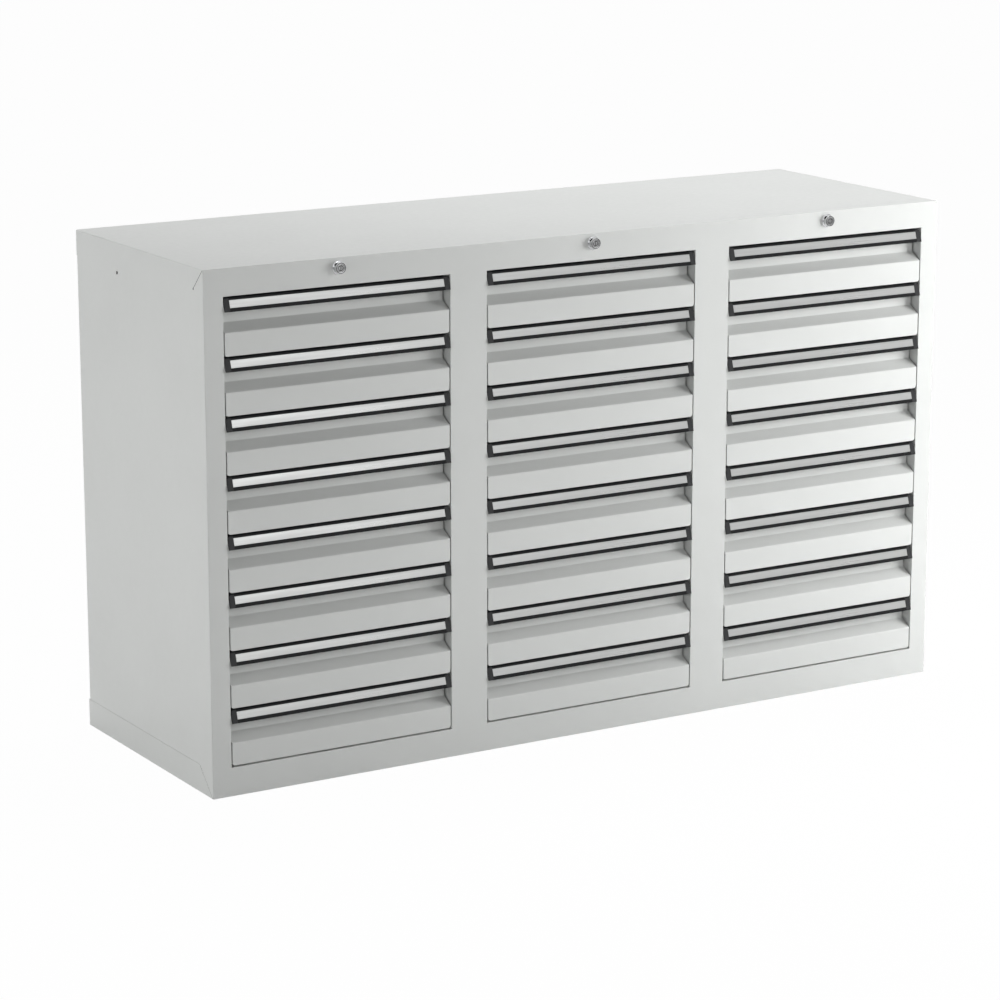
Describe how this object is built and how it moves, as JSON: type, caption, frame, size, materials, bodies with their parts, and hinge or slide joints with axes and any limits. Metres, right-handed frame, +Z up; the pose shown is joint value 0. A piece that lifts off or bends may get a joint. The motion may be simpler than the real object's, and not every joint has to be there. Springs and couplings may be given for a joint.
{
  "type": "drawer cabinet",
  "caption": "Free-standing light grey steel cabinet with columns of shallow drawers for small parts, black label-strip handles and a key lock over each column.",
  "frame": {"origin": "on the floor, under the middle of the cabinet's whole outline, lock cylinders and handles included", "axes": "+Z up, +X to the right along the front as seen by a user, the front faces -Y"},
  "size_m": [1.5, 0.509, 0.9],
  "materials": {
    "shell_paint": "light grey powder coat, fine satin texture",
    "drawer_paint": "light grey powder coat, fine satin texture",
    "handle_plastic": "black moulded plastic, satin",
    "slide_steel": "zinc-plated sheet with pale nylon rollers",
    "lock_chrome": "bright chrome plug on a zinc-plated shaft",
    "bar_steel": "zinc-plated flat steel"
  },
  "bodies": {
    "carcass": {"front_frame": "shell_paint", "body_wrapper": "shell_paint", "base_pan": "shell_paint", "partitions": "shell_paint", "back_panel": "shell_paint", "slide_rails": "slide_steel"},
    "drawer_c1_r1_body": {"drawer_c1_r1": "drawer_paint", "handle_c1_r1": "handle_plastic"},
    "drawer_c1_r2_body": {"drawer_c1_r2": "drawer_paint", "handle_c1_r2": "handle_plastic"},
    "drawer_c1_r3_body": {"drawer_c1_r3": "drawer_paint", "handle_c1_r3": "handle_plastic"},
    "drawer_c1_r4_body": {"drawer_c1_r4": "drawer_paint", "handle_c1_r4": "handle_plastic"},
    "drawer_c1_r5_body": {"drawer_c1_r5": "drawer_paint", "handle_c1_r5": "handle_plastic"},
    "drawer_c1_r6_body": {"drawer_c1_r6": "drawer_paint", "handle_c1_r6": "handle_plastic"},
    "drawer_c1_r7_body": {"drawer_c1_r7": "drawer_paint", "handle_c1_r7": "handle_plastic"},
    "drawer_c1_r8_body": {"drawer_c1_r8": "drawer_paint", "handle_c1_r8": "handle_plastic"},
    "drawer_c2_r1_body": {"drawer_c2_r1": "drawer_paint", "handle_c2_r1": "handle_plastic"},
    "drawer_c2_r2_body": {"drawer_c2_r2": "drawer_paint", "handle_c2_r2": "handle_plastic"},
    "drawer_c2_r3_body": {"drawer_c2_r3": "drawer_paint", "handle_c2_r3": "handle_plastic"},
    "drawer_c2_r4_body": {"drawer_c2_r4": "drawer_paint", "handle_c2_r4": "handle_plastic"},
    "drawer_c2_r5_body": {"drawer_c2_r5": "drawer_paint", "handle_c2_r5": "handle_plastic"},
    "drawer_c2_r6_body": {"drawer_c2_r6": "drawer_paint", "handle_c2_r6": "handle_plastic"},
    "drawer_c2_r7_body": {"drawer_c2_r7": "drawer_paint", "handle_c2_r7": "handle_plastic"},
    "drawer_c2_r8_body": {"drawer_c2_r8": "drawer_paint", "handle_c2_r8": "handle_plastic"},
    "drawer_c3_r1_body": {"drawer_c3_r1": "drawer_paint", "handle_c3_r1": "handle_plastic"},
    "drawer_c3_r2_body": {"drawer_c3_r2": "drawer_paint", "handle_c3_r2": "handle_plastic"},
    "drawer_c3_r3_body": {"drawer_c3_r3": "drawer_paint", "handle_c3_r3": "handle_plastic"},
    "drawer_c3_r4_body": {"drawer_c3_r4": "drawer_paint", "handle_c3_r4": "handle_plastic"},
    "drawer_c3_r5_body": {"drawer_c3_r5": "drawer_paint", "handle_c3_r5": "handle_plastic"},
    "drawer_c3_r6_body": {"drawer_c3_r6": "drawer_paint", "handle_c3_r6": "handle_plastic"},
    "drawer_c3_r7_body": {"drawer_c3_r7": "drawer_paint", "handle_c3_r7": "handle_plastic"},
    "drawer_c3_r8_body": {"drawer_c3_r8": "drawer_paint", "handle_c3_r8": "handle_plastic"},
    "lock_barrel_1_body": {"lock_barrel_1": "lock_chrome"},
    "lock_bar_1_body": {"lock_bar_1": "bar_steel"},
    "lock_barrel_2_body": {"lock_barrel_2": "lock_chrome"},
    "lock_bar_2_body": {"lock_bar_2": "bar_steel"},
    "lock_barrel_3_body": {"lock_barrel_3": "lock_chrome"},
    "lock_bar_3_body": {"lock_bar_3": "bar_steel"}
  },
  "joints": [
    {"name": "drawer_c1_r1_slide", "type": "slide", "parent": "carcass", "child": "drawer_c1_r1_body", "axis": [0, -1, 0], "range_m": [0, 0.35]},
    {"name": "drawer_c1_r2_slide", "type": "slide", "parent": "carcass", "child": "drawer_c1_r2_body", "axis": [0, -1, 0], "range_m": [0, 0.35]},
    {"name": "drawer_c1_r3_slide", "type": "slide", "parent": "carcass", "child": "drawer_c1_r3_body", "axis": [0, -1, 0], "range_m": [0, 0.35]},
    {"name": "drawer_c1_r4_slide", "type": "slide", "parent": "carcass", "child": "drawer_c1_r4_body", "axis": [0, -1, 0], "range_m": [0, 0.35]},
    {"name": "drawer_c1_r5_slide", "type": "slide", "parent": "carcass", "child": "drawer_c1_r5_body", "axis": [0, -1, 0], "range_m": [0, 0.35]},
    {"name": "drawer_c1_r6_slide", "type": "slide", "parent": "carcass", "child": "drawer_c1_r6_body", "axis": [0, -1, 0], "range_m": [0, 0.35]},
    {"name": "drawer_c1_r7_slide", "type": "slide", "parent": "carcass", "child": "drawer_c1_r7_body", "axis": [0, -1, 0], "range_m": [0, 0.35]},
    {"name": "drawer_c1_r8_slide", "type": "slide", "parent": "carcass", "child": "drawer_c1_r8_body", "axis": [0, -1, 0], "range_m": [0, 0.35]},
    {"name": "drawer_c2_r1_slide", "type": "slide", "parent": "carcass", "child": "drawer_c2_r1_body", "axis": [0, -1, 0], "range_m": [0, 0.35]},
    {"name": "drawer_c2_r2_slide", "type": "slide", "parent": "carcass", "child": "drawer_c2_r2_body", "axis": [0, -1, 0], "range_m": [0, 0.35]},
    {"name": "drawer_c2_r3_slide", "type": "slide", "parent": "carcass", "child": "drawer_c2_r3_body", "axis": [0, -1, 0], "range_m": [0, 0.35]},
    {"name": "drawer_c2_r4_slide", "type": "slide", "parent": "carcass", "child": "drawer_c2_r4_body", "axis": [0, -1, 0], "range_m": [0, 0.35]},
    {"name": "drawer_c2_r5_slide", "type": "slide", "parent": "carcass", "child": "drawer_c2_r5_body", "axis": [0, -1, 0], "range_m": [0, 0.35]},
    {"name": "drawer_c2_r6_slide", "type": "slide", "parent": "carcass", "child": "drawer_c2_r6_body", "axis": [0, -1, 0], "range_m": [0, 0.35]},
    {"name": "drawer_c2_r7_slide", "type": "slide", "parent": "carcass", "child": "drawer_c2_r7_body", "axis": [0, -1, 0], "range_m": [0, 0.35]},
    {"name": "drawer_c2_r8_slide", "type": "slide", "parent": "carcass", "child": "drawer_c2_r8_body", "axis": [0, -1, 0], "range_m": [0, 0.35]},
    {"name": "drawer_c3_r1_slide", "type": "slide", "parent": "carcass", "child": "drawer_c3_r1_body", "axis": [0, -1, 0], "range_m": [0, 0.35]},
    {"name": "drawer_c3_r2_slide", "type": "slide", "parent": "carcass", "child": "drawer_c3_r2_body", "axis": [0, -1, 0], "range_m": [0, 0.35]},
    {"name": "drawer_c3_r3_slide", "type": "slide", "parent": "carcass", "child": "drawer_c3_r3_body", "axis": [0, -1, 0], "range_m": [0, 0.35]},
    {"name": "drawer_c3_r4_slide", "type": "slide", "parent": "carcass", "child": "drawer_c3_r4_body", "axis": [0, -1, 0], "range_m": [0, 0.35]},
    {"name": "drawer_c3_r5_slide", "type": "slide", "parent": "carcass", "child": "drawer_c3_r5_body", "axis": [0, -1, 0], "range_m": [0, 0.35]},
    {"name": "drawer_c3_r6_slide", "type": "slide", "parent": "carcass", "child": "drawer_c3_r6_body", "axis": [0, -1, 0], "range_m": [0, 0.35]},
    {"name": "drawer_c3_r7_slide", "type": "slide", "parent": "carcass", "child": "drawer_c3_r7_body", "axis": [0, -1, 0], "range_m": [0, 0.35]},
    {"name": "drawer_c3_r8_slide", "type": "slide", "parent": "carcass", "child": "drawer_c3_r8_body", "axis": [0, -1, 0], "range_m": [0, 0.35]},
    {"name": "lock_1_turn", "type": "hinge", "parent": "carcass", "child": "lock_barrel_1_body", "pos_m": [-0.5, -0.2455, 0.883], "axis": [0, 1, 0], "range_deg": [0, 90]},
    {"name": "lock_bar_1_lift", "type": "slide", "parent": "carcass", "child": "lock_bar_1_body", "axis": [0, 0, 1], "range_m": [0, 0.012]},
    {"name": "lock_2_turn", "type": "hinge", "parent": "carcass", "child": "lock_barrel_2_body", "pos_m": [0, -0.2455, 0.883], "axis": [0, 1, 0], "range_deg": [0, 90]},
    {"name": "lock_bar_2_lift", "type": "slide", "parent": "carcass", "child": "lock_bar_2_body", "axis": [0, 0, 1], "range_m": [0, 0.012]},
    {"name": "lock_3_turn", "type": "hinge", "parent": "carcass", "child": "lock_barrel_3_body", "pos_m": [0.5, -0.2455, 0.883], "axis": [0, 1, 0], "range_deg": [0, 90]},
    {"name": "lock_bar_3_lift", "type": "slide", "parent": "carcass", "child": "lock_bar_3_body", "axis": [0, 0, 1], "range_m": [0, 0.012]}
  ],
  "couplings": [
    {"joint": "lock_1_turn", "follows": "lock_bar_1_lift", "rad_per_m": 130.9},
    {"joint": "lock_2_turn", "follows": "lock_bar_2_lift", "rad_per_m": 130.9},
    {"joint": "lock_3_turn", "follows": "lock_bar_3_lift", "rad_per_m": 130.9}
  ]
}
